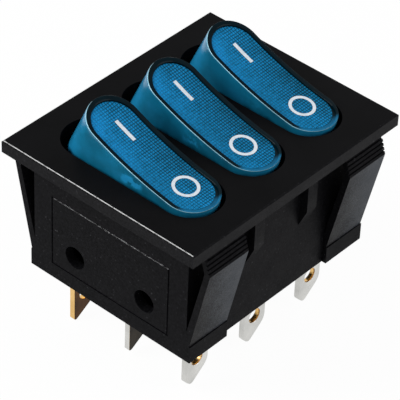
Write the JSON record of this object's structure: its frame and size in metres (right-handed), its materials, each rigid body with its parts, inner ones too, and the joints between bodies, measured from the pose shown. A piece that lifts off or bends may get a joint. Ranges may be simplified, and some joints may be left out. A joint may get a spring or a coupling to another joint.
{
  "type": "illuminated rocker switch",
  "caption": "Snap-in panel switch: translucent blue rockers marked I and O side by side in one black flanged housing, with latches on its long walls and solder tabs below.",
  "frame": {"origin": "centre of the flange's underside, the plane where the panel's face seats", "axes": "+X along the row of rockers, +Y towards their I ends, +Z out of the panel"},
  "size_m": [0.038, 0.032, 0.0354],
  "materials": {
    "black_housing": "satin",
    "blue_lens": "gloss",
    "white_nylon": "satin",
    "spring_steel": "satin",
    "lamp_glass": "gloss",
    "resistor_body": "satin",
    "copper_strip": "satin",
    "contact_silver": "satin",
    "tinned_brass": "satin",
    "bare_brass": "satin"
  },
  "bodies": {
    "base": {"housing": "black_housing", "common_terminal_1": "tinned_brass", "load_terminal_1": "tinned_brass", "fixed_contact_1": "contact_silver", "lamp_terminal_1": "bare_brass", "lamp_spring_1": "spring_steel", "resistor_spring_1": "spring_steel", "common_terminal_2": "tinned_brass", "load_terminal_2": "tinned_brass", "fixed_contact_2": "contact_silver", "lamp_terminal_2": "bare_brass", "lamp_spring_2": "spring_steel", "resistor_spring_2": "spring_steel", "common_terminal_3": "tinned_brass", "load_terminal_3": "tinned_brass", "fixed_contact_3": "contact_silver", "lamp_terminal_3": "bare_brass", "lamp_spring_3": "spring_steel", "resistor_spring_3": "spring_steel"},
    "rocker_1": {"rocker_1": "blue_lens", "plunger_spring_1": "spring_steel", "lamp_1": "lamp_glass", "resistor_1": "resistor_body"},
    "plunger_1": {"plunger_1": "white_nylon"},
    "bridge_1": {"contact_bridge_1": "copper_strip", "moving_contact_1": "contact_silver"},
    "rocker_2": {"rocker_2": "blue_lens", "plunger_spring_2": "spring_steel", "lamp_2": "lamp_glass", "resistor_2": "resistor_body"},
    "plunger_2": {"plunger_2": "white_nylon"},
    "bridge_2": {"contact_bridge_2": "copper_strip", "moving_contact_2": "contact_silver"},
    "rocker_3": {"rocker_3": "blue_lens", "plunger_spring_3": "spring_steel", "lamp_3": "lamp_glass", "resistor_3": "resistor_body"},
    "plunger_3": {"plunger_3": "white_nylon"},
    "bridge_3": {"contact_bridge_3": "copper_strip", "moving_contact_3": "contact_silver"}
  },
  "joints": [
    {"name": "rocker_turn_1", "type": "hinge", "parent": "base", "child": "rocker_1", "pos_m": [-0.01085, 0, -0.0013], "axis": [1, 0, 0], "range_deg": [-33, 0], "deforming": ["lamp_spring_1", "resistor_spring_1"]},
    {"name": "bridge_tilt_1", "type": "hinge", "parent": "base", "child": "bridge_1", "pos_m": [-0.01085, 0, -0.01135], "axis": [1, 0, 0], "range_deg": [0, 18]},
    {"name": "plunger_slide_1", "type": "slide", "parent": "rocker_1", "child": "plunger_1", "axis": [0, 0.284, -0.9588], "range_m": [0, 0.0012]},
    {"name": "rocker_turn_2", "type": "hinge", "parent": "base", "child": "rocker_2", "pos_m": [0, 0, -0.0013], "axis": [1, 0, 0], "range_deg": [-33, 0], "deforming": ["lamp_spring_2", "resistor_spring_2"]},
    {"name": "bridge_tilt_2", "type": "hinge", "parent": "base", "child": "bridge_2", "pos_m": [0, 0, -0.01135], "axis": [1, 0, 0], "range_deg": [0, 18]},
    {"name": "plunger_slide_2", "type": "slide", "parent": "rocker_2", "child": "plunger_2", "axis": [0, 0.284, -0.9588], "range_m": [0, 0.0012]},
    {"name": "rocker_turn_3", "type": "hinge", "parent": "base", "child": "rocker_3", "pos_m": [0.01085, 0, -0.0013], "axis": [1, 0, 0], "range_deg": [-33, 0], "deforming": ["lamp_spring_3", "resistor_spring_3"]},
    {"name": "bridge_tilt_3", "type": "hinge", "parent": "base", "child": "bridge_3", "pos_m": [0.01085, 0, -0.01135], "axis": [1, 0, 0], "range_deg": [0, 18]},
    {"name": "plunger_slide_3", "type": "slide", "parent": "rocker_3", "child": "plunger_3", "axis": [0, 0.284, -0.9588], "range_m": [0, 0.0012]}
  ],
  "couplings": [
    {"joint": "bridge_tilt_1", "follows": "rocker_turn_1", "ratio": -0.54546},
    {"joint": "bridge_tilt_2", "follows": "rocker_turn_2", "ratio": -0.54546},
    {"joint": "bridge_tilt_3", "follows": "rocker_turn_3", "ratio": -0.54546}
  ]
}
